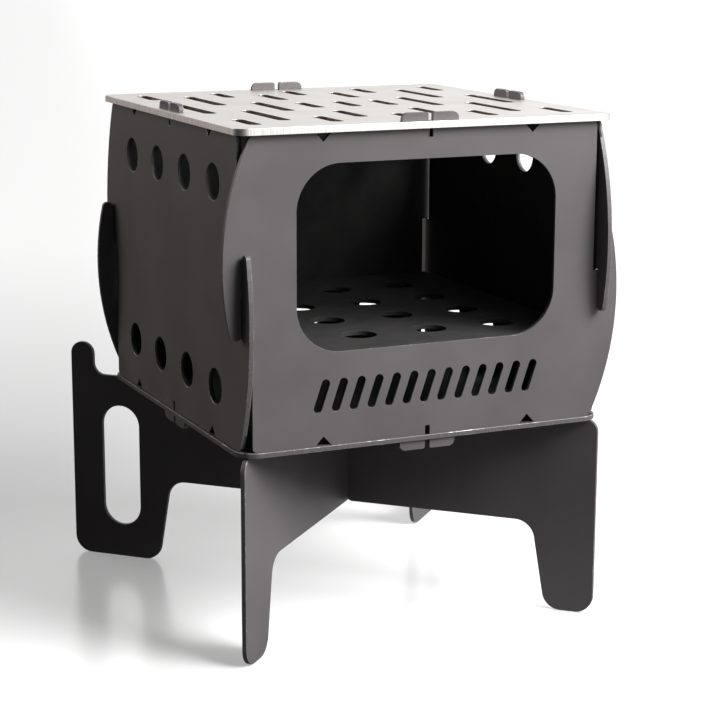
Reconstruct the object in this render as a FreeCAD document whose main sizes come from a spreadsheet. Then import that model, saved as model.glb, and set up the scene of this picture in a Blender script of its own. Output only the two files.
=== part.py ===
"""Slot-together fire box: nine flat plates that stand on crossed legs without a fastener.

Every plate is drawn flat, as the blank that is cut from the sheet, and then stood in its
place. Lengths are in millimetres. The origin is on the floor, under the middle of the
whole assembly. The front wall faces -Y.
"""
import FreeCAD, Part
import math
import os
import re
import Sketcher
from FreeCAD import Placement, Rotation, Vector

# Driving dimensions: alias, value, what it is
DIMENSIONS = [
    ("sheet", 3.0, "gauge of the coated steel plates"),
    ("grill_sheet", 4.0, "gauge of the stainless grill plate"),
    ("slot_gap", 0.3, "free space each side of a plate in its slot"),
    ("tab_gap", 0.8, "free space at each end of a tab or post in its slot"),
    ("box_span", 239.0, "outer face to outer face of opposite walls"),
    ("wall_rise", 185.0, "wall height between base plate and grill"),
    ("end_setback", 6.1, "straight wall end, back from the neighbour's outer face"),
    ("corner_round", 3.0, "corner of the straight wall end"),
    ("ear_reach", 11.4, "how far an ear bulges past the neighbour's outer face"),
    ("ear_radius", 178.0, "bulge of an ear"),
    ("ear_overlap", 25.0, "ear tip past the wall's mid height"),
    ("ear_gap", 0.4, "free space between an ear and the neighbour's outer face"),
    ("tip_round", 3.0, "both corners of an ear tip"),
    ("ear_root", 5.0, "corner where an ear's bulge meets the wall's long edge"),
    ("cross_gap", 0.5, "free space between the closed ends of two crossed slots"),
    ("tab_width", 16.9, "one tab of a pair"),
    ("tab_split", 3.2, "slit between the two tabs of a pair"),
    ("tab_reach", 9.0, "how far a tab stands out of the wall's edge"),
    ("tab_round", 4.0, "outer corner of a tab"),
    ("slit_round", 1.4, "corner of a tab at the slit"),
    ("slit_depth", 5.5, "how far the slit runs on into the wall"),
    ("notch_place", 68.6, "triangular notch, from the wall's middle"),
    ("notch_depth", 5.6, "depth of a triangular notch"),
    ("notch_half", 5.3, "half the mouth of a triangular notch"),
    ("window_width", 171.0, "stoking window in the front wall"),
    ("window_rise", 111.0, "height of the window"),
    ("window_sill", 56.0, "window's lower edge above the base plate"),
    ("window_round", 28.0, "corner of the window"),
    ("vent_pitch", 11.6, "step of the slanted vents under the window"),
    ("vent_width", 5.4, "width of a slanted vent"),
    ("vent_rise", 20.0, "height of the row of slanted vents"),
    ("vent_sill", 20.0, "row of vents above the base plate"),
    ("vent_lean", 5.0, "how far a vent leans over its height"),
    ("hole_size", 22.0, "air hole in the other walls"),
    ("hole_pitch", 49.5, "step of the air holes"),
    ("hole_edge", 31.2, "row of air holes, from the wall's long edge"),
    ("base_border", 2.0, "base plate past the walls' outer faces"),
    ("base_round", 13.0, "corner of the base plate"),
    ("grill_border", 4.0, "grill plate past the walls' outer faces"),
    ("grill_round", 8.5, "corner of the grill plate"),
    ("grill_slot", 8.5, "width of a grill slot"),
    ("side_land", 13.7, "wall's inner face to the middle of the outermost column of slots"),
    ("rim_land", 13.0, "wall's inner face to the slots near the front and rear rim"),
    ("rim_slot", 34.0, "length of the slots near the rim"),
    ("long_land", 31.2, "wall's inner face to the long slots"),
    ("long_slot", 66.0, "length of the long slots"),
    ("short_land", 34.5, "wall's inner face to the slots beside the middle column"),
    ("short_slot", 41.3, "length of the slots beside the middle column"),
    ("middle_slot", 62.0, "length of the slots over the middle of the outer columns"),
    ("centre_slot", 36.0, "length of the three slots in the centre"),
    ("grate_gap", 1.5, "free space between the fire grate and the walls"),
    ("grate_level", 51.4, "underside of the fire grate above the base plate"),
    ("grate_round", 4.0, "corner of the fire grate"),
    ("grate_pitch", 48.0, "step of the holes in the fire grate"),
    ("grate_hole", 22.0, "hole in the fire grate"),
    ("leg_rise", 129.0, "floor to the underside of the base plate"),
    ("beam_depth", 71.0, "depth of a leg plate between its two legs"),
    ("foot_reach", 170.0, "outer edge of the front leg, from the crossing"),
    ("foot_width", 31.8, "width of the front leg at the floor"),
    ("leg_lean", 9.8, "how far a leg's inner edge leans in from floor to beam"),
    ("handle_reach", 202.7, "outer edge of the handle, from the crossing"),
    ("foot_round", 12.0, "corners of the feet"),
    ("arch_round", 13.0, "corner between beam and leg"),
    ("shoulder_round", 8.5, "upper outer corner of the front leg"),
    ("prong_width", 17.0, "stop prong behind the base plate's corner"),
    ("prong_rise", 22.0, "prong above the underside of the base plate"),
    ("prong_round", 8.2, "both corners of the prong's top"),
    ("prong_root", 8.0, "corner between prong and ledge"),
    ("grip_width", 28.0, "hand hole"),
    ("grip_length", 85.0, "length of the hand hole"),
    ("grip_land", 22.9, "from the handle's outer edge to the hand hole"),
    ("grip_strap", 13.6, "from the hand hole to the rear leg's inner edge at the floor"),
    ("grip_height", 65.5, "middle of the hand hole above the floor"),
    ("post_width", 31.0, "post that carries the fire grate"),
    ("post_place", 126.5, "middle of a post, from the crossing"),
    ("post_round", 2.0, "upper corners of a post"),
    ("lead_round", 3.0, "rounded mouth of a cross slot"),
]

WALL_HOLE_COUNT = 4
GRATE_HOLE_COUNT = 4
VENT_COUNT = 13
OUTER_COLUMN = 4

# Places that several plates share, worked out from the dimensions
BASE_TOP = "leg_rise + sheet"
WALL_MIDDLE = "leg_rise + sheet + wall_rise / 2"
GRILL_UNDERSIDE = "leg_rise + sheet + wall_rise"
INNER_FACE = "(box_span / 2 - sheet)"
WALL_END = "box_span / 2 - end_setback"
EAR_APEX = "box_span / 2 + ear_reach"
LOW_ROW = "hole_edge - wall_rise / 2"
HIGH_ROW = "wall_rise / 2 - hole_edge"
COLUMN_PITCH = f"({INNER_FACE} - side_land) / {OUTER_COLUMN}"
GRIP_PLACE = "(handle_reach - grip_land - grip_width / 2)"
# The handles reach further back than the ears reach forward, so the box stands in front
# of the origin by half the difference.
FORWARD = "((handle_reach + sheet / 2) / sqrt(2) - (box_span / 2 + ear_reach)) / 2"

doc = FreeCAD.newDocument("FireBox")
sizes = doc.addObject("Spreadsheet::Sheet", "Sizes")
for row, (alias, size, meaning) in enumerate(DIMENSIONS, start=1):
    sizes.set(f"A{row}", meaning)
    sizes.set(f"B{row}", str(size))
    sizes.setAlias(f"B{row}", alias)
doc.recompute()

ALIAS = re.compile(r"\b(" + "|".join(alias for alias, size, meaning in DIMENSIONS) + r")\b")


def bound(text):
    """The expression that ties a property to the cells that `text` names."""
    return ALIAS.sub(r"Sizes.\1", text)


def number(text):
    """What an expression over the cells comes to now."""
    result = sizes.evalExpression(bound(text))
    return float(getattr(result, "Value", result))


def new_plate(label):
    """An empty body for one plate."""
    body = doc.addObject("PartDesign::Body", label)
    body.Label = label
    return body


def origin_feature(body, role):
    """One of the planes or axes of the body's own origin."""
    return next(item for item in body.Origin.OriginFeatures if item.Role == role)


def new_sketch(body, name):
    """A sketch in the plane of the flat blank."""
    sketch = body.newObject("Sketcher::SketchObject", name)
    sketch.AttachmentSupport = (origin_feature(body, "XY_Plane"), [""])
    sketch.MapMode = "FlatFace"
    return sketch


def constrain(sketch, *rule, size):
    """A dimension in the sketch that follows an expression."""
    index = sketch.addConstraint(Sketcher.Constraint(*rule, number(size)))
    sketch.setExpression(f"Constraints[{index}]", bound(size))


def pin(sketch, geometry, vertex, x, y):
    """Hold one vertex of a sketch element at a place given by two expressions."""
    constrain(sketch, "DistanceX", -1, 1, geometry, vertex, size=x)
    constrain(sketch, "DistanceY", -1, 1, geometry, vertex, size=y)


def join(sketch, first, second):
    """The end of one element is the start of the next."""
    sketch.addConstraint(Sketcher.Constraint("Coincident", first, 2, second, 1))


def draw_outline(sketch, corners):
    """A closed outline of straight sides through corners given by expressions."""
    places = [Vector(number(x), number(y), 0) for x, y in corners]
    sides = [
        sketch.addGeometry(Part.LineSegment(start, end), False)
        for start, end in zip(places, places[1:] + places[:1])
    ]
    for side, following in zip(sides, sides[1:] + sides[:1]):
        join(sketch, side, following)
    for side, (x, y) in zip(sides, corners):
        pin(sketch, side, 1, x, y)


def draw_rectangle(sketch, left, bottom, right, top):
    draw_outline(sketch, [(left, bottom), (right, bottom), (right, top), (left, top)])


def draw_circle(sketch, x, y, diameter):
    circle = Part.Circle(Vector(number(x), number(y), 0), Vector(0, 0, 1), number(diameter) / 2)
    index = sketch.addGeometry(circle, False)
    pin(sketch, index, 3, x, y)
    constrain(sketch, "Diameter", index, size=diameter)


def draw_slot(sketch, start, end, width):
    """A slot with round ends, between the two centres of its ends."""
    first = Vector(number(start[0]), number(start[1]), 0)
    last = Vector(number(end[0]), number(end[1]), 0)
    radius = number(width) / 2
    along = (last - first).normalize()
    side = Vector(-along.y, along.x, 0) * radius
    heading = math.atan2(along.y, along.x)
    quarter = math.pi / 2
    up = Vector(0, 0, 1)
    far_end = Part.ArcOfCircle(Part.Circle(last, up, radius), heading - quarter, heading + quarter)
    near_end = Part.ArcOfCircle(
        Part.Circle(first, up, radius), heading + quarter, heading + 3 * quarter
    )
    loop = [
        sketch.addGeometry(shape, False)
        for shape in (
            Part.LineSegment(first - side, last - side),
            far_end,
            Part.LineSegment(last + side, first + side),
            near_end,
        )
    ]
    for one, following in zip(loop, loop[1:] + loop[:1]):
        sketch.addConstraint(Sketcher.Constraint("Tangent", one, 2, following, 1))
    for arc, (x, y) in ((loop[1], end), (loop[3], start)):
        pin(sketch, arc, 3, x, y)
    constrain(sketch, "Radius", loop[1], size=f"({width}) / 2")
    sketch.addConstraint(Sketcher.Constraint("Equal", loop[1], loop[3]))


def pad(body, sketch, name, gauge="sheet"):
    """Give the outline the sheet's gauge."""
    feature = body.newObject("PartDesign::Pad", name)
    feature.Profile = sketch
    feature.setExpression("Length", bound(gauge))
    sketch.Visibility = False
    doc.recompute()
    return feature


def cut(body, sketch, name):
    """Cut the outlines through the whole gauge and make sure that metal went away."""
    before = body.Tip.Shape.Volume
    feature = body.newObject("PartDesign::Pocket", name)
    feature.Profile = sketch
    feature.Type = "ThroughAll"
    feature.Midplane = True
    doc.recompute()
    if not feature.Shape.Volume < before:
        raise RuntimeError(f"{body.Label}: {name} cuts nothing")
    return feature


def half_turn(body, features, name):
    """Repeat features at the other end of the blank, turned by 180 degrees about its middle."""
    pattern = body.newObject("PartDesign::PolarPattern", name)
    pattern.Originals = features
    pattern.Axis = (origin_feature(body, "Z_Axis"), [""])
    pattern.Angle = 360
    pattern.Occurrences = 2
    body.Tip = pattern
    doc.recompute()
    return pattern


def row_of(body, feature, name, role, step, count):
    """Repeat a feature along one axis of the blank."""
    pattern = body.newObject("PartDesign::LinearPattern", name)
    pattern.Originals = [feature]
    pattern.Direction = (origin_feature(body, role), [""])
    pattern.setExpression("Length", bound(f"({step}) * {count - 1}"))
    pattern.Occurrences = count
    body.Tip = pattern
    doc.recompute()
    return pattern


def round_corners(body, name, radius, places):
    """Round the corners of the blank that stand at the given places."""
    corners = [(number(x), number(y)) for x, y in places]
    base = body.Tip
    names = []
    for index, edge in enumerate(base.Shape.Edges, start=1):
        box = edge.BoundBox
        if box.ZLength < 0.5 or box.XLength + box.YLength > 1e-3:
            continue
        middle = box.Center
        if any(math.hypot(middle.x - x, middle.y - y) < 0.01 for x, y in corners):
            names.append(f"Edge{index}")
    if len(names) != len(corners):
        raise RuntimeError(f"{body.Label}: {name} finds {len(names)} of {len(corners)} corners")
    feature = body.newObject("PartDesign::Fillet", name)
    feature.Base = (base, names)
    feature.setExpression("Radius", bound(radius))
    doc.recompute()
    return feature


def stand(body, turn, across="0", outward="0", rise="0"):
    """Stand a blank upright, turned about the vertical, and put it in its place.

    The blank's face that looks up when it lies flat looks along -Y at turn 0. `across` is
    along the plate, `outward` along that face's normal and `rise` up.
    """
    angle = math.radians(turn)
    body.Placement = Placement(
        Vector(0, 0, 0), Rotation(Vector(0, 0, 1), turn) * Rotation(Vector(1, 0, 0), 90)
    )
    cosine = f"{math.cos(angle):.12f}"
    sine = f"{math.sin(angle):.12f}"
    places = {
        "x": f"({across}) * {cosine} + ({outward}) * {sine}",
        "y": f"({across}) * {sine} - ({outward}) * {cosine} - ({FORWARD})",
        "z": rise,
    }
    for axis, text in places.items():
        body.setExpression(f"Placement.Base.{axis}", bound(text))
    doc.recompute()


def lay(body, rise):
    """Lay a blank flat over the crossing at a height."""
    body.setExpression("Placement.Base.y", bound(f"-({FORWARD})"))
    body.setExpression("Placement.Base.z", bound(rise))
    doc.recompute()


def draw_ear(sketch):
    """One ear: a bulging finger that rises past mid height, with the neighbour's slot inside it."""
    foot = Vector(number(WALL_END), number("-wall_rise / 2"), 0)
    radius = number("ear_radius")
    centre_x = number(f"{EAR_APEX} - ear_radius")
    centre = Vector(centre_x, foot.y + math.sqrt(radius**2 - (foot.x - centre_x) ** 2), 0)
    tip_y = number("ear_overlap")
    tip = Vector(centre.x + math.sqrt(radius**2 - (tip_y - centre.y) ** 2), tip_y, 0)
    inner_x = "box_span / 2 + ear_gap"
    slot_end = "-cross_gap / 2"
    bulge = sketch.addGeometry(
        Part.ArcOfCircle(
            Part.Circle(centre, Vector(0, 0, 1), radius),
            math.atan2(foot.y - centre.y, foot.x - centre.x),
            math.atan2(tip.y - centre.y, tip.x - centre.x),
        ),
        False,
    )
    places = [
        tip,
        Vector(number(inner_x), tip_y, 0),
        Vector(number(inner_x), number(slot_end), 0),
        Vector(foot.x, number(slot_end), 0),
        foot,
    ]
    sides = [
        sketch.addGeometry(Part.LineSegment(start, end), False)
        for start, end in zip(places, places[1:])
    ]
    loop = [bulge] + sides
    for one, following in zip(loop, loop[1:] + loop[:1]):
        join(sketch, one, following)
    pin(sketch, bulge, 1, WALL_END, "-wall_rise / 2")
    constrain(sketch, "Radius", bulge, size="ear_radius")
    constrain(sketch, "DistanceX", -1, 1, bulge, 3, size=f"{EAR_APEX} - ear_radius")
    constrain(sketch, "DistanceY", -1, 1, bulge, 2, size="ear_overlap")
    pin(sketch, sides[1], 1, inner_x, "ear_overlap")
    pin(sketch, sides[2], 1, inner_x, slot_end)
    pin(sketch, sides[3], 1, WALL_END, slot_end)
    return tip


def with_opposites(places):
    """Places on the blank together with the same ones turned by 180 degrees."""
    return places + [(f"-({x})", f"-({y})") for x, y in places]


def wall_blank(label):
    """The blank that all four walls share. Its middle is at the blank's origin.

    Seen from outside, the right end has its ear on the lower half and the left end on the
    upper half, so each wall hooks into both neighbours.
    """
    body = new_plate(label)
    core = new_sketch(body, label + "_core_outline")
    draw_rectangle(core, f"-({WALL_END})", "-wall_rise / 2", WALL_END, "wall_rise / 2")
    pad(body, core, label + "_core")

    ear_outline = new_sketch(body, label + "_ear_outline")
    tip = draw_ear(ear_outline)
    ear = pad(body, ear_outline, label + "_ear")

    tab_outline = new_sketch(body, label + "_tab_outline")
    tab_foot = "-wall_rise / 2"
    tab_end = "-wall_rise / 2 - tab_reach"
    outer = "tab_split / 2 + tab_width"
    draw_rectangle(tab_outline, "tab_split / 2", tab_end, outer, tab_foot)
    draw_rectangle(tab_outline, f"-({outer})", tab_end, "-tab_split / 2", tab_foot)
    tabs = pad(body, tab_outline, label + "_tabs")

    notch_outline = new_sketch(body, label + "_notch_outline")
    for sign in ("-", ""):
        draw_outline(
            notch_outline,
            [
                (f"{sign}notch_place - notch_half", tab_foot),
                (f"{sign}notch_place + notch_half", tab_foot),
                (f"{sign}notch_place", "notch_depth - wall_rise / 2"),
            ],
        )
    draw_rectangle(
        notch_outline, "-tab_split / 2", tab_foot, "tab_split / 2", "slit_depth - wall_rise / 2"
    )
    notches = cut(body, notch_outline, label + "_notches")
    half_turn(body, [ear, tabs, notches], label + "_both_ends")

    tips = [(f"{tip.x}", "ear_overlap"), ("box_span / 2 + ear_gap", "ear_overlap")]
    round_corners(body, label + "_tips", "tip_round", with_opposites(tips))
    round_corners(
        body, label + "_ends", "corner_round", with_opposites([(WALL_END, "wall_rise / 2")])
    )
    round_corners(
        body, label + "_ear_roots", "ear_root", with_opposites([(WALL_END, "-wall_rise / 2")])
    )
    tab_outer = [(outer, tab_end), (f"-({outer})", tab_end)]
    round_corners(body, label + "_tab_corners", "tab_round", with_opposites(tab_outer))
    tab_inner = [("tab_split / 2", tab_end), ("-tab_split / 2", tab_end)]
    round_corners(body, label + "_slit_corners", "slit_round", with_opposites(tab_inner))
    return body


def stand_wall(body, turn):
    """Stand a wall with its outer face on the box's outline."""
    stand(body, turn, outward="box_span / 2 - sheet", rise=WALL_MIDDLE)


def front_panel():
    """Front wall: the stoking window and a row of slanted vents under it."""
    body = wall_blank("front_panel")
    half = "window_width / 2"
    sill = "window_sill - wall_rise / 2"
    head = "window_sill + window_rise - wall_rise / 2"
    opening = new_sketch(body, "window_outline")
    draw_rectangle(opening, f"-{half}", sill, half, head)
    cut(body, opening, "window")
    corners = [(half, sill), (half, head), (f"-{half}", sill), (f"-{half}", head)]
    round_corners(body, "window_corners", "window_round", corners)

    vent = new_sketch(body, "vent_outline")
    first = f"-vent_pitch * {VENT_COUNT - 1} / 2"
    low = "vent_sill + vent_width / 2 - wall_rise / 2"
    high = "vent_sill + vent_rise - vent_width / 2 - wall_rise / 2"
    start = (f"{first} - vent_lean / 2", low)
    end = (f"{first} + vent_lean / 2", high)
    draw_slot(vent, start, end, "vent_width")
    first_vent = cut(body, vent, "first_vent")
    row_of(body, first_vent, "vents", "X_Axis", "vent_pitch", VENT_COUNT)
    stand_wall(body, 0)
    return body


def holed_panel(label, turn, rows):
    """Side or rear wall: rows of air holes, each row at its height on the blank."""
    body = wall_blank(label)
    holes = new_sketch(body, label + "_hole_outline")
    first = f"-hole_pitch * {WALL_HOLE_COUNT - 1} / 2"
    for row in rows:
        draw_circle(holes, first, row, "hole_size")
    first_holes = cut(body, holes, label + "_first_holes")
    row_of(body, first_holes, label + "_holes", "X_Axis", "hole_pitch", WALL_HOLE_COUNT)
    stand_wall(body, turn)
    return body


def square_plate(label, half, radius, gauge="sheet"):
    """A square plate with round corners, centred on the crossing."""
    body = new_plate(label)
    outline = new_sketch(body, label + "_outline")
    draw_rectangle(outline, f"-({half})", f"-({half})", half, half)
    pad(body, outline, label + "_blank", gauge)
    corners = [(x, y) for x in (half, f"-({half})") for y in (half, f"-({half})")]
    round_corners(body, label + "_corners", radius, corners)
    return body


def cut_tab_slots(body):
    """The four slots near the rim that take the walls' tabs."""
    sketch = new_sketch(body, body.Label + "_tab_slots_outline")
    half_length = "tab_width + tab_split / 2 + tab_gap"
    outer = "box_span / 2 + slot_gap"
    inner = f"{INNER_FACE} - slot_gap"
    draw_rectangle(sketch, f"-({half_length})", inner, half_length, outer)
    draw_rectangle(sketch, f"-({half_length})", f"-({outer})", half_length, f"-({inner})")
    draw_rectangle(sketch, inner, f"-({half_length})", outer, half_length)
    draw_rectangle(sketch, f"-({outer})", f"-({half_length})", f"-({inner})", half_length)
    cut(body, sketch, body.Label + "_tab_slots")


def base_plate():
    """Plate under the walls, which also catches the ash. The legs' posts pass through it."""
    body = square_plate("base_plate", "box_span / 2 + base_border", "base_round")
    cut_tab_slots(body)
    sketch = new_sketch(body, "post_slots_outline")
    reach = "post_width / 2 + tab_gap"
    width = "sheet / 2 + slot_gap"
    for side_x, side_y in ((1, 1), (-1, 1), (-1, -1), (1, -1)):
        corners = []
        for along, across in ((1, -1), (1, 1), (-1, 1), (-1, -1)):
            out = f"(post_place + ({along}) * ({reach}))"
            aside = f"({across}) * ({width})"
            x = f"({side_x}) * {out} / sqrt(2) - ({side_y}) * {aside} / sqrt(2)"
            y = f"({side_y}) * {out} / sqrt(2) + ({side_x}) * {aside} / sqrt(2)"
            corners.append((x, y))
        draw_outline(sketch, corners)
    cut(body, sketch, "post_slots")
    lay(body, "leg_rise")
    return body


def fire_grate():
    """Holed plate inside the walls that carries the fuel. It lies on the legs' posts."""
    half = f"{INNER_FACE} - grate_gap"
    body = square_plate("fire_grate", half, "grate_round")
    holes = new_sketch(body, "grate_hole_outline")
    first = f"-grate_pitch * {GRATE_HOLE_COUNT - 1} / 2"
    for index in range(GRATE_HOLE_COUNT):
        draw_circle(holes, first, f"{first} + grate_pitch * {index}", "grate_hole")
    first_column = cut(body, holes, "grate_first_column")
    row_of(body, first_column, "grate_holes", "X_Axis", "grate_pitch", GRATE_HOLE_COUNT)
    lay(body, f"{BASE_TOP} + grate_level")
    return body


def draw_column(sketch, column, land, length):
    """Slots of one length in the columns that lie `column` steps right and left of the middle.

    Each column has one slot at the front and one at the rear, `land` away from the walls, or
    one over the middle where `land` is None.
    """
    reach = f"({length} - grill_slot) / 2"
    places = ["0"]
    if land:
        away = f"({INNER_FACE} - {land} - {length} / 2)"
        places = [away, f"-{away}"]
    for side in sorted({-column, column}):
        x = f"({side}) * {COLUMN_PITCH}"
        for middle in places:
            low = f"{middle} - {reach}"
            high = f"{middle} + {reach}"
            draw_slot(sketch, (x, low), (x, high), "grill_slot")


def grill_plate():
    """Stainless cooking plate on top of the walls, with slots in staggered columns."""
    body = square_plate("grill_plate", "box_span / 2 + grill_border", "grill_round", "grill_sheet")
    cut_tab_slots(body)
    layout = {
        "rim_slots": [(0, "rim_land", "rim_slot"), (2, "rim_land", "rim_slot")],
        "corner_slots": [(OUTER_COLUMN, "rim_land", "rim_slot")],
        "middle_slots": [(2, None, "middle_slot"), (OUTER_COLUMN, None, "middle_slot")],
        "long_slots": [(3, "long_land", "long_slot")],
        "short_slots": [(1, "short_land", "short_slot")],
        "centre_slots": [(0, None, "centre_slot"), (1, None, "centre_slot")],
    }
    for name, columns in layout.items():
        sketch = new_sketch(body, name + "_outline")
        for column, land, length in columns:
            draw_column(sketch, column, land, length)
        cut(body, sketch, name)
    lay(body, GRILL_UNDERSIDE)
    return body


def leg_plate(label, turn, slot_from_top):
    """One of the two crossed leg plates: front leg, beam, rear leg with a hand hole, prong.

    The blank's origin is on the floor at the crossing, with the handle end to the right.
    """
    body = new_plate(label)
    under = "leg_rise - beam_depth"
    front_foot = "(foot_reach - foot_width)"
    front_top = "(foot_reach - foot_width - leg_lean)"
    rear_foot = f"({GRIP_PLACE} - grip_width / 2 - grip_strap)"
    rear_top = f"({GRIP_PLACE} - grip_width / 2 - grip_strap - leg_lean)"
    prong_left = "handle_reach - prong_width"
    prong_top = "leg_rise + prong_rise"
    outline = new_sketch(body, label + "_outline")
    draw_outline(
        outline,
        [
            ("-foot_reach", "0"),
            (f"-{front_foot}", "0"),
            (f"-{front_top}", under),
            (rear_top, under),
            (rear_foot, "0"),
            ("handle_reach", "0"),
            ("handle_reach", prong_top),
            (prong_left, prong_top),
            (prong_left, "leg_rise"),
            ("-foot_reach", "leg_rise"),
        ],
    )
    pad(body, outline, label + "_blank")

    post_outline = new_sketch(body, label + "_post_outline")
    post_top = f"{BASE_TOP} + grate_level"
    post_sides = []
    for sign in ("-", ""):
        left = f"{sign}post_place - post_width / 2"
        right = f"{sign}post_place + post_width / 2"
        draw_rectangle(post_outline, left, "leg_rise", right, post_top)
        post_sides += [left, right]
    pad(body, post_outline, label + "_posts")

    grip = new_sketch(body, label + "_grip_outline")
    reach = "(grip_length - grip_width) / 2"
    low = (GRIP_PLACE, f"grip_height - {reach}")
    high = (GRIP_PLACE, f"grip_height + {reach}")
    draw_slot(grip, low, high, "grip_width")
    cut(body, grip, label + "_grip")

    feet = ["-foot_reach", f"-{front_foot}", rear_foot, "handle_reach"]
    round_corners(body, label + "_feet", "foot_round", [(x, "0") for x in feet])
    arch = [(f"-{front_top}", under), (rear_top, under)]
    round_corners(body, label + "_arch", "arch_round", arch)
    round_corners(body, label + "_shoulder", "shoulder_round", [("-foot_reach", "leg_rise")])
    prong = [("handle_reach", prong_top), (prong_left, prong_top)]
    round_corners(body, label + "_prong", "prong_round", prong)
    round_corners(body, label + "_root", "prong_root", [(prong_left, "leg_rise")])
    round_corners(body, label + "_post_tops", "post_round", [(x, post_top) for x in post_sides])

    middle = "leg_rise - beam_depth / 2"
    half = "sheet / 2 + slot_gap"
    mouth = "leg_rise" if slot_from_top else under
    end = f"{middle} - cross_gap / 2" if slot_from_top else f"{middle} + cross_gap / 2"
    slot = new_sketch(body, label + "_cross_slot_outline")
    low, high = (end, mouth) if slot_from_top else (mouth, end)
    draw_rectangle(slot, f"-({half})", low, half, high)
    cut(body, slot, label + "_cross_slot")
    lips = [(f"-({half})", mouth), (half, mouth)]
    round_corners(body, label + "_lips", "lead_round", lips)
    stand(body, turn, outward="-sheet / 2")
    return body


def check_document():
    """Stop if anything in the document failed to rebuild."""
    for item in doc.Objects:
        if {"Invalid", "Error"} & set(item.State):
            raise RuntimeError(f"{item.Label} failed: {item.State}")


def write_plates(plates):
    """Check each plate's solid and write it under its own name."""
    os.makedirs("parts", exist_ok=True)
    for body in plates:
        shape = body.Shape
        if shape.isNull() or not shape.isValid() or len(shape.Solids) != 1:
            raise RuntimeError(f"{body.Label} is not one valid solid")
        shape.exportStep(f"parts/{body.Label}.step")
        box = shape.BoundBox
        print(
            f"{body.Label}: volume {shape.Volume:.0f} mm3, "
            f"x {box.XMin:.2f} to {box.XMax:.2f}, "
            f"y {box.YMin:.2f} to {box.YMax:.2f}, "
            f"z {box.ZMin:.2f} to {box.ZMax:.2f}"
        )


PLATES = [
    leg_plate("leg_plate_under", 45, slot_from_top=True),
    leg_plate("leg_plate_over", 135, slot_from_top=False),
    base_plate(),
    front_panel(),
    holed_panel("right_panel", 90, [LOW_ROW, HIGH_ROW]),
    holed_panel("rear_panel", 180, [LOW_ROW]),
    holed_panel("left_panel", 270, [LOW_ROW, HIGH_ROW]),
    fire_grate(),
    grill_plate(),
]
doc.recompute()
check_document()
write_plates(PLATES)
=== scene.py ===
import math

import bmesh
import bpy
from mathutils import Matrix, Vector


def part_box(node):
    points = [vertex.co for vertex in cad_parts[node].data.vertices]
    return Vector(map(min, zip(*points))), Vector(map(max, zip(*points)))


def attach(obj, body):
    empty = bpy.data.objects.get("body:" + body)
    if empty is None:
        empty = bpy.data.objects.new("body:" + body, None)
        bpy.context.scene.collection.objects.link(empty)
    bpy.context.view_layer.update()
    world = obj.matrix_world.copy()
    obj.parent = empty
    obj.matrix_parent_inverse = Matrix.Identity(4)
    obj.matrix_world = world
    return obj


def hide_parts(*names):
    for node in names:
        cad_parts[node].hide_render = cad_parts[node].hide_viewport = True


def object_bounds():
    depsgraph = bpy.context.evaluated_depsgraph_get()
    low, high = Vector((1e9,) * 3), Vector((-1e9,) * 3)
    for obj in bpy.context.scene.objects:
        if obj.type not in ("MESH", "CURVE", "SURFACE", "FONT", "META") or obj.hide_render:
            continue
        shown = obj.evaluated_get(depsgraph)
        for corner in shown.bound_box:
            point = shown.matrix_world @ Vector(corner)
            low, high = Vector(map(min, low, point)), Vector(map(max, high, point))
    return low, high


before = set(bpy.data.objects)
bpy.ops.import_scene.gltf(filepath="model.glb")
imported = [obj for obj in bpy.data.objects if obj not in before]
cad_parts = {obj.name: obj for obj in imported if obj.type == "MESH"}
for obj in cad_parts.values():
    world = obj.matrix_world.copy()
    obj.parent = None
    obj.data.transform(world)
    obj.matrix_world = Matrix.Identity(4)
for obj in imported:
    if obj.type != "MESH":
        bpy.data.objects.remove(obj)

# A slot-together fire box: coated steel plates on crossed legs, under a stainless grill.
# Lengths are metres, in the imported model's frame; MM turns millimetres into metres.

MM = 0.001
CAD_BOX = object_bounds()

# Plate edges as the laser leaves them: a fine rounding of the sharp edge
EDGE_ROUND = 0.35 * MM
EDGE_SEGMENTS = 2
SAME_POINT = 0.001 * MM
FLAT = math.radians(0.5)
SHARP = math.radians(35)
IN_PLANE = math.cos(math.radians(26))
UV_NAME = "blank"

# Camera at the photograph's place: how far it looks right, down, and leans, in radians
IMAGE_WIDTH = 720
SENSOR_WIDTH = 36.0
FOCAL_PIXELS = 1969.3
CAMERA_PLACE = Vector((-0.5207, -1.1565, 0.4331))
CAMERA_YAW = 0.4325
CAMERA_PITCH = 0.2180
CAMERA_ROLL = 0.0041
CAMERA_REACH = 50.0

# Where the fire burns: painted shade darkens the walls' inner half, the base plate's top and the
# grate
SHEET_GAUGE = 3 * MM
GRATE_RIM_TO_MID_WALL = 3 * MM
GRATE_LOW, GRATE_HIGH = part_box("fire_grate")
CHAMBER_MIDDLE = (Vector(GRATE_LOW) + Vector(GRATE_HIGH)) / 2
CHAMBER_HALF = (GRATE_HIGH[0] - GRATE_LOW[0]) / 2 + GRATE_RIM_TO_MID_WALL
CHAMBER_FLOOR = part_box("base_plate")[1][2] - SHEET_GAUGE / 2
CHAMBER_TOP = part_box("grill_plate")[0][2]

# The grill's ground rim, which starts this far from the middle
RIM_DEPTH = 3 * MM
RIM_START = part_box("grill_plate")[1][0] - RIM_DEPTH

# The studio is dark on the left: where the paper, its gleam and the pale room end on that side
FLOOR_HALF = 40.0
DARK_SIDE = (-1.0, 0.0, 0.0)
PAPER_END = (0.1, 0.6)
GLEAM_END = (-0.15, 0.2)
PALE_ROOM_END = (-0.6, 0.45)

# The shade that lies on the paper behind the box, on the left, and fades further back
SHADE_SIDE = (-0.96, 0.27, 0.0)
SHADE_EDGE = (-0.2, 0.2)
BACKWARD = (0.0, 1.0, 0.0)
SHADE_START = (0.05, 0.4)
SHADE_FADING = (-0.2, 1.6)
SHADE_DEPTH = 0.93
SHADE_LOST = 0.7

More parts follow.
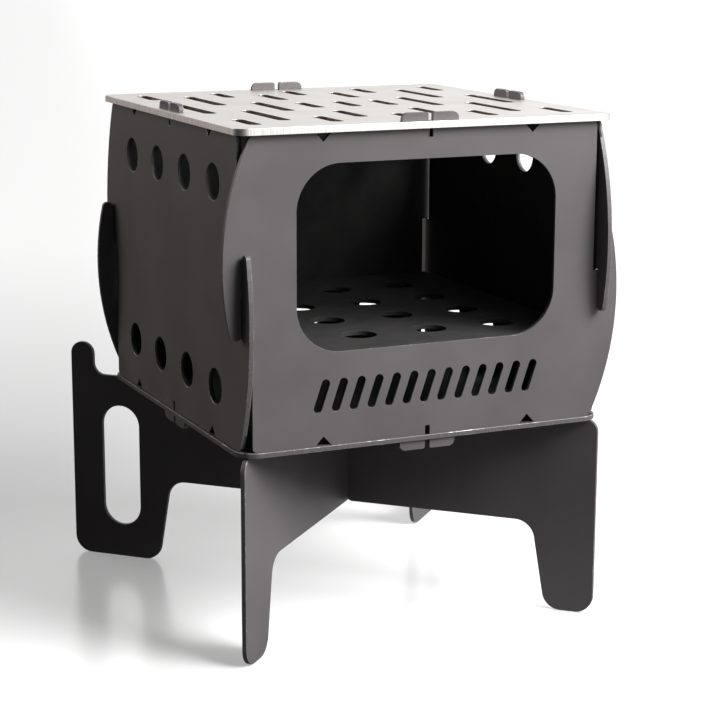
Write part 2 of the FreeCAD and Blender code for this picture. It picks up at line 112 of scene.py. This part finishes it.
# How far off the lamps stand
SUN_DISTANCE = 2.0
SOFTBOX_DISTANCE = 0.6
SOFTBOX_SIZE = 0.5


def linear(hex_colour):
    """An sRGB hex colour as linear RGBA."""
    channels = [int(hex_colour[i:i + 2], 16) / 255 for i in (1, 3, 5)]
    return [c / 12.92 if c <= 0.04045 else ((c + 0.055) / 1.055) ** 2.4 for c in channels] + [1.0]


def feed(tree, socket, value):
    """Give an input socket its value, or a link from another node's output."""
    if isinstance(value, bpy.types.NodeSocket):
        tree.links.new(value, socket)
    else:
        socket.default_value = value


def add(tree, kind, inputs=None, **settings):
    """Add a node; an input is a value or another node's output socket."""
    node = tree.nodes.new(kind)
    for name, value in settings.items():
        setattr(node, name, value)
    for name, value in (inputs or {}).items():
        feed(tree, node.inputs[name], value)
    return node


def new_material(name):
    """An empty material and its node tree."""
    material = bpy.data.materials.new(name)
    material.use_nodes = True
    material.node_tree.nodes.clear()
    return material, material.node_tree


def ramp(tree, factor, *stops):
    """A colour ramp through (place, colour) stops."""
    node = add(tree, "ShaderNodeValToRGB", {"Fac": factor})
    elements = node.color_ramp.elements
    elements[0].position, elements[0].color = stops[0]
    elements[1].position, elements[1].color = stops[-1]
    for place, colour in stops[1:-1]:
        elements.new(place).color = colour
    return node.outputs["Color"]


def grey(value):
    """A grey of one level, as RGBA."""
    return [value, value, value, 1.0]


def compute(tree, operation, first, second=0.0):
    """The result of one sum or comparison."""
    node = add(tree, "ShaderNodeMath", {0: first, 1: second}, operation=operation)
    return node.outputs["Value"]


def from_middle(tree, place):
    """How far a place lies from the box's middle, to the side or forward, whichever is more."""
    axes = add(tree, "ShaderNodeSeparateXYZ", {"Vector": place})
    across = compute(
        tree, "ABSOLUTE", compute(tree, "SUBTRACT", axes.outputs["X"], CHAMBER_MIDDLE.x)
    )
    along = compute(
        tree, "ABSOLUTE", compute(tree, "SUBTRACT", axes.outputs["Y"], CHAMBER_MIDDLE.y)
    )
    return compute(tree, "MAXIMUM", across, along)


def chamber_shade(tree, place):
    """How much painted shade lies at a place: all over the fire chamber, none outside it."""
    height = add(tree, "ShaderNodeSeparateXYZ", {"Vector": place}).outputs["Z"]
    between = compute(tree, "LESS_THAN", from_middle(tree, place), CHAMBER_HALF)
    above = compute(tree, "GREATER_THAN", height, CHAMBER_FLOOR)
    below = compute(tree, "LESS_THAN", height, CHAMBER_TOP)
    return compute(tree, "MULTIPLY", between, compute(tree, "MULTIPLY", above, below))


def under_chamber_shade(tree, place, colour, roughness):
    """A finish's colour and roughness where painted shade darkens it in the fire chamber."""
    painted_shade = chamber_shade(tree, place)
    shade_mottle = add(
        tree, "ShaderNodeTexNoise",
        {"Vector": place, "Scale": 1 / (14 * MM), "Detail": 6.0, "Roughness": 0.65},
    )
    # Near-black mottled colour: painted shade over the inside of the fire chamber
    black = ramp(tree, shade_mottle.outputs["Fac"], (0.35, linear("#171616")), (0.7, linear("#262423")))
    seen = add(tree, "ShaderNodeMix", {"Factor": painted_shade}, data_type="RGBA")
    tree.links.new(colour, seen.inputs[6])
    tree.links.new(black, seen.inputs[7])
    dull = add(tree, "ShaderNodeMapRange", {"Value": painted_shade, "To Max": 0.8})
    feed(tree, dull.inputs["To Min"], roughness)
    return seen.outputs[2], dull.outputs["Result"]


def high_temperature_coat():
    """Matt high-temperature coating, sprayed on sheet steel: dark warm grey with a low sheen.

    The spray gives a fine grain, and handling leaves faint cloudy patches in the sheen.
    """
    material, tree = new_material("high_temperature_coat")
    place = add(tree, "ShaderNodeTexCoord").outputs["Object"]
    grain = add(
        tree, "ShaderNodeTexNoise",
        {"Vector": place, "Scale": 1 / (0.7 * MM), "Detail": 2.0, "Roughness": 0.6},
    )
    clouds = add(
        tree, "ShaderNodeTexNoise",
        {"Vector": place, "Scale": 1 / (45 * MM), "Detail": 4.0, "Roughness": 0.55},
    )
    colour = ramp(
        tree, clouds.outputs["Fac"],
        (0.3, linear("#4b4748")),
        (0.7, linear("#534f50")),
    )
    sheen = add(
        tree, "ShaderNodeMapRange",
        {"Value": clouds.outputs["Fac"], "From Min": 0.3, "From Max": 0.7,
         "To Min": 0.46, "To Max": 0.54},
    )
    colour, roughness = under_chamber_shade(tree, place, colour, sheen.outputs["Result"])
    bump = add(
        tree, "ShaderNodeBump",
        {"Height": grain.outputs["Fac"], "Strength": 0.35, "Distance": 0.02 * MM},
    )
    surface = add(
        tree, "ShaderNodeBsdfPrincipled",
        {"Base Color": colour, "Roughness": roughness, "IOR": 1.5,
         "Normal": bump.outputs["Normal"]},
    )
    add(tree, "ShaderNodeOutputMaterial", {"Surface": surface.outputs["BSDF"]})
    return material


def coated_cut_edge():
    """The plate's laser-cut edge under the same coating: fine drag lines across the gauge."""
    material, tree = new_material("coated_laser_cut_edge")
    blank = add(tree, "ShaderNodeUVMap", uv_map=UV_NAME).outputs["UV"]
    lines = add(
        tree, "ShaderNodeTexNoise",
        {"Vector": blank, "Scale": 1 / (0.8 * MM), "Detail": 1.0},
        noise_dimensions="2D",
    )
    bump = add(
        tree, "ShaderNodeBump",
        {"Height": lines.outputs["Fac"], "Strength": 0.5, "Distance": 0.03 * MM},
    )
    colour = ramp(
        tree, lines.outputs["Fac"],
        (0.35, linear("#464344")),
        (0.65, linear("#524e4f")),
    )
    place = add(tree, "ShaderNodeTexCoord").outputs["Object"]
    colour, roughness = under_chamber_shade(tree, place, colour, 0.5)
    surface = add(
        tree, "ShaderNodeBsdfPrincipled",
        {"Base Color": colour, "Roughness": roughness, "IOR": 1.5,
         "Normal": bump.outputs["Normal"]},
    )
    add(tree, "ShaderNodeOutputMaterial", {"Surface": surface.outputs["BSDF"]})
    return material


def rubbed_corner_with_painted_highlight():
    """Sharp corner of a coated plate: lighter than the face all along as a painted highlight, and
    its thin coating rubbed through to steel here and there.
    """
    material, tree = new_material("coating_rubbed_with_painted_highlight_at_the_corner")
    place = add(tree, "ShaderNodeTexCoord").outputs["Object"]
    wear = add(
        tree, "ShaderNodeTexNoise",
        {"Vector": place, "Scale": 1 / (9 * MM), "Detail": 5.0, "Roughness": 0.65},
    )
    bare = add(
        tree, "ShaderNodeMapRange",
        {"Value": wear.outputs["Fac"], "From Min": 0.52, "From Max": 0.66},
    )
    # The corner's colour is lighter than the coat everywhere: a painted highlight; the bare metal
    # patches are wear
    colour = ramp(
        tree, bare.outputs["Result"],
        (0.0, linear("#625e5e")),
        (1.0, linear("#b0aca9")),
    )
    # clean means outside the chamber's painted shade; bare steel shows only there
    clean = compute(tree, "SUBTRACT", 1.0, chamber_shade(tree, place))
    metal = compute(tree, "MULTIPLY", bare.outputs["Result"], clean)
    colour, roughness = under_chamber_shade(tree, place, colour, 0.42)
    surface = add(
        tree, "ShaderNodeBsdfPrincipled",
        {"Base Color": colour, "Roughness": roughness, "Metallic": metal},
    )
    add(tree, "ShaderNodeOutputMaterial", {"Surface": surface.outputs["BSDF"]})
    return material


def stainless_sheet():
    """Stainless sheet with a satin mill finish: rolled lines along the sheet, soft and pale."""
    material, tree = new_material("satin_stainless_sheet")
    place = add(tree, "ShaderNodeTexCoord").outputs["Object"]
    rolled = add(
        tree, "ShaderNodeMapping",
        {"Vector": place, "Scale": (1 / (0.5 * MM), 1 / (25 * MM), 1 / (25 * MM))},
    )
    lines = add(
        tree, "ShaderNodeTexNoise",
        {"Vector": rolled.outputs["Vector"], "Scale": 1.0, "Detail": 3.0},
    )
    clouds = add(
        tree, "ShaderNodeTexNoise",
        {"Vector": place, "Scale": 1 / (40 * MM), "Detail": 4.0},
    )
    colour = ramp(
        tree, clouds.outputs["Fac"],
        (0.35, linear("#dcd6d0")),
        (0.65, linear("#e6e2df")),
    )
    satin = add(
        tree, "ShaderNodeMapRange",
        {"Value": lines.outputs["Fac"], "From Min": 0.3, "From Max": 0.7,
         "To Min": 0.30, "To Max": 0.42},
    )
    bump = add(
        tree, "ShaderNodeBump",
        {"Height": lines.outputs["Fac"], "Strength": 0.25, "Distance": 0.01 * MM},
    )
    surface = add(
        tree, "ShaderNodeBsdfPrincipled",
        {"Base Color": colour, "Metallic": 1.0, "Roughness": satin.outputs["Result"],
         "Normal": bump.outputs["Normal"]},
    )
    add(tree, "ShaderNodeOutputMaterial", {"Surface": surface.outputs["BSDF"]})
    return material


def stainless_cut_edge():
    """Laser-cut stainless with fine drag lines across the gauge.

    The grill's outer rim is ground bright. The slots' cut edges are dark brown, partly the oxide
    of the cut and partly painted shade inside the slots, so they look dark in the pale plate.
    """
    material, tree = new_material("laser_cut_stainless_edge")
    blank = add(tree, "ShaderNodeUVMap", uv_map=UV_NAME).outputs["UV"]
    lines = add(
        tree, "ShaderNodeTexNoise",
        {"Vector": blank, "Scale": 1 / (0.9 * MM), "Detail": 2.0},
        noise_dimensions="2D",
    )
    bump = add(
        tree, "ShaderNodeBump",
        {"Height": lines.outputs["Fac"], "Strength": 0.5, "Distance": 0.03 * MM},
    )
    ground = ramp(tree, lines.outputs["Fac"], (0.35, linear("#d2cdc8")), (0.65, linear("#ebe7e3")))
    # Darker brown slot edges: the cut's oxide, with painted shade inside the slots
    oxide_and_slot_shade = ramp(tree, lines.outputs["Fac"], (0.35, linear("#5a514b")), (0.65, linear("#857b74")))
    place = add(tree, "ShaderNodeTexCoord").outputs["Object"]
    rim = compute(tree, "GREATER_THAN", from_middle(tree, place), RIM_START)
    colour = add(tree, "ShaderNodeMix", {"Factor": rim}, data_type="RGBA")
    tree.links.new(oxide_and_slot_shade, colour.inputs[6])
    tree.links.new(ground, colour.inputs[7])
    surface = add(
        tree, "ShaderNodeBsdfPrincipled",
        {"Base Color": colour.outputs[2], "Metallic": 1.0, "Roughness": 0.45,
         "Normal": bump.outputs["Normal"]},
    )
    add(tree, "ShaderNodeOutputMaterial", {"Surface": surface.outputs["BSDF"]})
    return material


def plate_axes(node):
    """A plate's in-plane horizontal and vertical direction and its normal, from its own faces."""
    largest = max(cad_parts[node].data.polygons, key=lambda face: face.area)
    normal = largest.normal.normalized()
    if abs(normal.z) > IN_PLANE:
        return Vector((1, 0, 0)), Vector((0, 1, 0)), Vector((0, 0, 1))
    across = Vector((0, 0, 1)).cross(normal).normalized()
    return across, Vector((0, 0, 1)), normal


def clean_plate(node, piece, materials):
    """The CAD plate as one clean piece: merged, rounded at its sharp edges, and dressed.

    Material 0 is the sheet's face, 1 the cut edge and 2 the rounded corner between them.
    """
    across, up, normal = plate_axes(node)
    work = bmesh.new()
    work.from_mesh(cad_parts[node].data)
    bmesh.ops.remove_doubles(work, verts=work.verts, dist=SAME_POINT)
    bmesh.ops.dissolve_limit(work, angle_limit=FLAT, verts=work.verts, edges=work.edges)
    bmesh.ops.recalc_face_normals(work, faces=work.faces)
    blank = work.loops.layers.uv.new(UV_NAME)
    for face in work.faces:
        face.smooth = True
        face.material_index = 0 if abs(face.normal.dot(normal)) > IN_PLANE else 1
        for loop in face.loops:
            loop[blank].uv = (loop.vert.co.dot(across), loop.vert.co.dot(up))
    mesh = bpy.data.meshes.new(piece)
    work.to_mesh(mesh)
    work.free()
    packed_normals = mesh.attributes.get("custom_normal")
    if packed_normals:
        mesh.attributes.remove(packed_normals)
    for material in materials:
        mesh.materials.append(material)
    plate = bpy.data.objects.new(piece, mesh)
    bpy.context.scene.collection.objects.link(plate)
    rounding = plate.modifiers.new("rounded_edges", "BEVEL")
    rounding.width = EDGE_ROUND
    rounding.segments = EDGE_SEGMENTS
    rounding.limit_method = "ANGLE"
    rounding.angle_limit = SHARP
    rounding.harden_normals = True
    rounding.material = 2
    return plate


def dress(node, piece, body, materials):
    """Put a clean, finished plate in a CAD plate's place, on its body."""
    plate = clean_plate(node, piece, materials)
    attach(plate, body)
    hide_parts(node)


coated = [high_temperature_coat(), coated_cut_edge(), rubbed_corner_with_painted_highlight()]
satin = stainless_sheet()
stainless = [satin, stainless_cut_edge(), satin]

# Each coated plate: its CAD node, its name here and its body
COATED_PLATES = [
    ("leg_plate_under", "lower_leg", "stand"),
    ("leg_plate_over", "upper_leg", "cross_leg"),
    ("base_plate", "ash_plate", "base"),
    ("front_panel", "front_wall", "walls"),
    ("right_panel", "right_wall", "walls"),
    ("rear_panel", "rear_wall", "walls"),
    ("left_panel", "left_wall", "walls"),
    ("fire_grate", "grate", "grate"),
]
for coated_node, coated_piece, coated_body in COATED_PLATES:
    dress(coated_node, coated_piece, coated_body, coated)
dress("grill_plate", "grill", "grill", stainless)


def share(tree, value, low, high):
    """How far a value has come from low to high, eased at both ends."""
    node = add(
        tree, "ShaderNodeMapRange",
        {"Value": value, "From Min": low, "From Max": high},
        interpolation_type="SMOOTHSTEP",
    )
    return node.outputs["Result"]


def toward(tree, place, direction):
    """How far a place lies along a direction."""
    node = add(
        tree, "ShaderNodeVectorMath",
        {0: place, 1: Vector(direction).normalized()},
        operation="DOT_PRODUCT",
    )
    return node.outputs["Value"]


def paper_in_shade(tree, place):
    """How far the light on the paper falls off behind the box, on the left."""
    leftwards = share(tree, toward(tree, place, SHADE_SIDE), *SHADE_EDGE)
    behind = share(tree, toward(tree, place, BACKWARD), *SHADE_START)
    far = share(tree, toward(tree, place, BACKWARD), *SHADE_FADING)
    kept = compute(tree, "SUBTRACT", SHADE_DEPTH, compute(tree, "MULTIPLY", far, SHADE_LOST))
    return compute(tree, "MULTIPLY", kept, compute(tree, "MULTIPLY", leftwards, behind))


def paper_in_view(tree, place):
    """The paper as the camera sees it: white, half glossy, with the shadows that fall on it."""
    lit = ramp(tree, paper_in_shade(tree, place), (0.0, grey(0.5)), (1.0, grey(0.0)))
    matt = add(tree, "ShaderNodeBsdfDiffuse", {"Color": lit})
    gloss = add(tree, "ShaderNodeBsdfGlossy", {"Color": grey(0.3), "Roughness": 0.22})
    glow = add(tree, "ShaderNodeEmission", {"Color": grey(0.27)})
    surface = add(tree, "ShaderNodeAddShader", {0: matt.outputs["BSDF"], 1: gloss.outputs["BSDF"]})
    return add(
        tree, "ShaderNodeAddShader", {0: surface.outputs["Shader"], 1: glow.outputs["Emission"]}
    )


def studio_paper():
    """White paper under the box, with the dark studio floor past it on the left.

    The camera sees white everywhere, and the steel mirrors the paper as white too.
    """
    material, tree = new_material("studio_paper")
    place = add(tree, "ShaderNodeTexCoord").outputs["Object"]
    past_paper = share(tree, toward(tree, place, DARK_SIDE), *PAPER_END)
    paper = ramp(tree, past_paper, (0.0, grey(0.2)), (1.0, grey(0.03)))
    past_light = share(tree, toward(tree, place, DARK_SIDE), *GLEAM_END)
    gleam = ramp(tree, past_light, (0.0, grey(0.85)), (1.0, grey(0.03)))
    path = add(tree, "ShaderNodeLightPath")
    scattered = add(tree, "ShaderNodeBsdfDiffuse", {"Color": paper})
    mirrored = add(tree, "ShaderNodeEmission", {"Color": gleam})
    bounced = add(
        tree, "ShaderNodeMixShader",
        {"Fac": path.outputs["Is Glossy Ray"], 1: scattered.outputs["BSDF"],
         2: mirrored.outputs["Emission"]},
    )
    surface = add(
        tree, "ShaderNodeMixShader",
        {"Fac": path.outputs["Is Camera Ray"], 1: bounced.outputs["Shader"],
         2: paper_in_view(tree, place).outputs["Shader"]},
    )
    add(tree, "ShaderNodeOutputMaterial", {"Surface": surface.outputs["Shader"]})
    return material


def studio_floor():
    """The paper that the box stands on, far wider than the view."""
    work = bmesh.new()
    bmesh.ops.create_grid(work, x_segments=1, y_segments=1, size=FLOOR_HALF)
    mesh = bpy.data.meshes.new("studio_floor")
    work.to_mesh(mesh)
    work.free()
    mesh.materials.append(studio_paper())
    floor = bpy.data.objects.new("studio_floor", mesh)
    bpy.context.scene.collection.objects.link(floor)


def studio_world():
    """Pale studio on the right, dark studio on the left.

    The camera sees white all round.
    """
    world = bpy.data.worlds.new("studio")
    world.use_nodes = True
    tree = world.node_tree
    tree.nodes.clear()
    direction = add(tree, "ShaderNodeTexCoord").outputs["Generated"]
    into_dark = share(tree, toward(tree, direction, DARK_SIDE), *PALE_ROOM_END)
    light = ramp(tree, into_dark, (0.0, grey(0.25)), (1.0, grey(0.02)))
    mirrored = ramp(tree, into_dark, (0.0, grey(1.0)), (1.0, grey(0.06)))
    path = add(tree, "ShaderNodeLightPath")
    level = add(
        tree, "ShaderNodeMix",
        {"Factor": path.outputs["Is Glossy Ray"]},
        data_type="RGBA",
    )
    tree.links.new(light, level.inputs[6])
    tree.links.new(mirrored, level.inputs[7])
    lit = add(tree, "ShaderNodeBackground", {"Color": level.outputs[2]})
    white = add(tree, "ShaderNodeBackground", {"Color": grey(1.0)})
    seen = add(
        tree, "ShaderNodeMixShader",
        {"Fac": path.outputs["Is Camera Ray"], 1: lit.outputs["Background"],
         2: white.outputs["Background"]},
    )
    add(tree, "ShaderNodeOutputWorld", {"Surface": seen.outputs["Shader"]})
    bpy.context.scene.world = world


def from_box(azimuth, elevation):
    """The direction from the box to a lamp; azimuth 0 is in front and grows to the right."""
    turn = math.radians(azimuth)
    lift = math.radians(elevation)
    return Vector((
        math.sin(turn) * math.cos(lift), -math.cos(turn) * math.cos(lift), math.sin(lift)
    ))


def lamp(name, kind, azimuth, elevation, distance, **settings):
    """A lamp around the box that shines at its middle."""
    light = bpy.data.lights.new(name, kind)
    for setting, value in settings.items():
        setattr(light, setting, value)
    holder = bpy.data.objects.new(name, light)
    away = from_box(azimuth, elevation)
    holder.location = (CAD_BOX[0] + CAD_BOX[1]) / 2 + away * distance
    holder.rotation_euler = away.to_track_quat("Z", "Y").to_euler()
    bpy.context.scene.collection.objects.link(holder)


def photograph_camera():
    """The camera where the photograph was taken from."""
    camera = bpy.data.cameras.new("camera")
    camera.sensor_width = SENSOR_WIDTH
    camera.lens = FOCAL_PIXELS / IMAGE_WIDTH * SENSOR_WIDTH
    camera.clip_end = CAMERA_REACH
    holder = bpy.data.objects.new("camera", camera)
    turn = (
        Matrix.Rotation(-CAMERA_YAW, 3, "Z")
        @ Matrix.Rotation(math.pi / 2 - CAMERA_PITCH, 3, "X")
        @ Matrix.Rotation(CAMERA_ROLL, 3, "Z")
    )
    holder.matrix_world = Matrix.Translation(CAMERA_PLACE) @ turn.to_4x4()
    bpy.context.scene.collection.objects.link(holder)
    bpy.context.scene.camera = holder


studio_floor()
studio_world()
lamp(
    "key", "SUN", azimuth=41, elevation=37, distance=SUN_DISTANCE,
    energy=4.8, angle=math.radians(32),
)
lamp(
    "top", "AREA", azimuth=35, elevation=45, distance=SOFTBOX_DISTANCE,
    energy=3.4, size=SOFTBOX_SIZE,
)
lamp(
    "fill", "SUN", azimuth=-140, elevation=20, distance=SUN_DISTANCE,
    energy=1.25, color=(1.0, 0.93, 0.9), angle=math.radians(50),
)
photograph_camera()
bpy.context.scene.view_settings.view_transform = "Standard"
